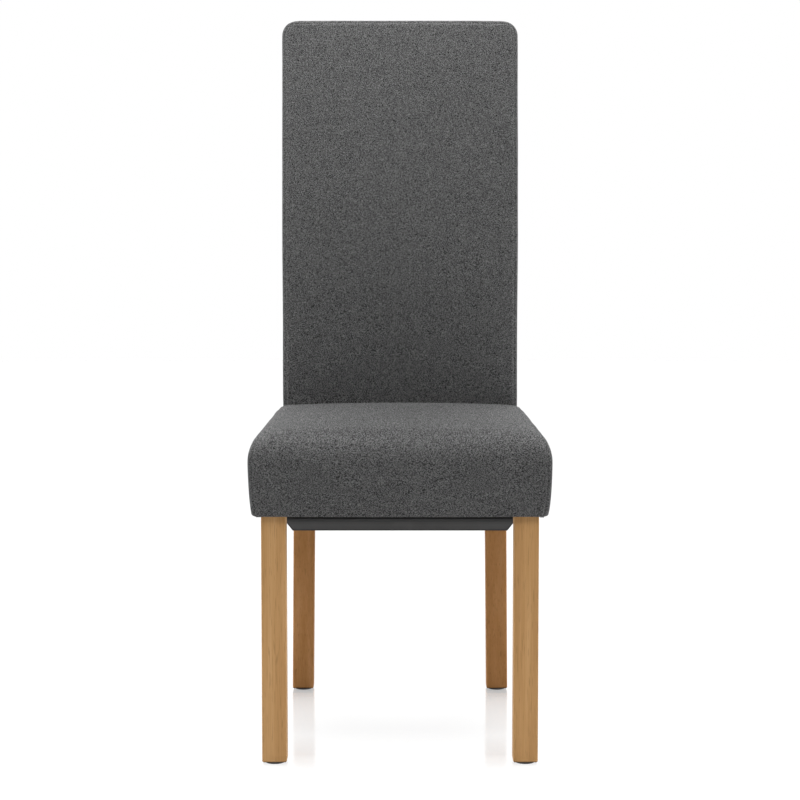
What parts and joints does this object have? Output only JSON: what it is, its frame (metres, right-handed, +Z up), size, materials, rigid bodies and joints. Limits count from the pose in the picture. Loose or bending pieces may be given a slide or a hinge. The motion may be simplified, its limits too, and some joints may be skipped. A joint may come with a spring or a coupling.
{
  "type": "upholstered dining chair",
  "caption": "High-back dining chair: tall upholstered back swept to the rear, box seat with a rolled top, square oak legs, dark bevelled block under the back.",
  "frame": {"origin": "on the floor, under the middle of the chair's bounding box", "axes": "+Z up, the seat's front faces -Y, +X across the chair"},
  "size_m": [0.428, 0.594, 1.087],
  "materials": {
    "leg_wood": "light oak, clear satin lacquer",
    "frame_wood": "raw planed softwood",
    "seat_cloth": "charcoal felt-like upholstery cloth",
    "back_cloth": "charcoal felt-like upholstery cloth",
    "foam": "open-cell foam",
    "webbing": "woven elastic strap",
    "dust_cloth": "black non-woven cloth",
    "block_paint": "smooth dark grey paint, satin",
    "glide_plastic": "matte",
    "zinc_steel": "zinc plated",
    "black_steel": "black oxide"
  },
  "bodies": {
    "root": {"front_leg_left": "leg_wood", "front_leg_right": "leg_wood", "back_post_left": "leg_wood", "back_post_right": "leg_wood", "glides": "glide_plastic", "seat_front_rail": "frame_wood", "seat_rear_rail": "frame_wood", "seat_side_rail_left": "frame_wood", "seat_side_rail_right": "frame_wood", "corner_block_front_left": "frame_wood", "corner_block_front_right": "frame_wood", "corner_block_rear_left": "frame_wood", "corner_block_rear_right": "frame_wood", "seat_frame_dowels": "frame_wood", "corner_block_screws": "zinc_steel", "leg_hanger_bolts": "zinc_steel", "leg_washers": "zinc_steel", "leg_nuts": "zinc_steel", "seat_webbing_lengthwise": "webbing", "seat_webbing_crosswise": "webbing", "seat_foam": "foam", "seat_cover": "seat_cloth", "dust_cover": "dust_cloth", "back_top_rail": "frame_wood", "back_middle_rail": "frame_wood", "back_lumbar_rail": "frame_wood", "back_bottom_rail": "frame_wood", "back_frame_dowels": "frame_wood", "back_webbing": "webbing", "back_front_foam": "foam", "back_side_foam_left": "foam", "back_side_foam_right": "foam", "back_rear_padding": "foam", "back_cover": "back_cloth", "back_base_block": "block_paint", "base_block_screws": "black_steel", "seat_back_bolts": "black_steel", "seat_back_washers": "zinc_steel", "threaded_inserts": "zinc_steel"}
  },
  "joints": []
}
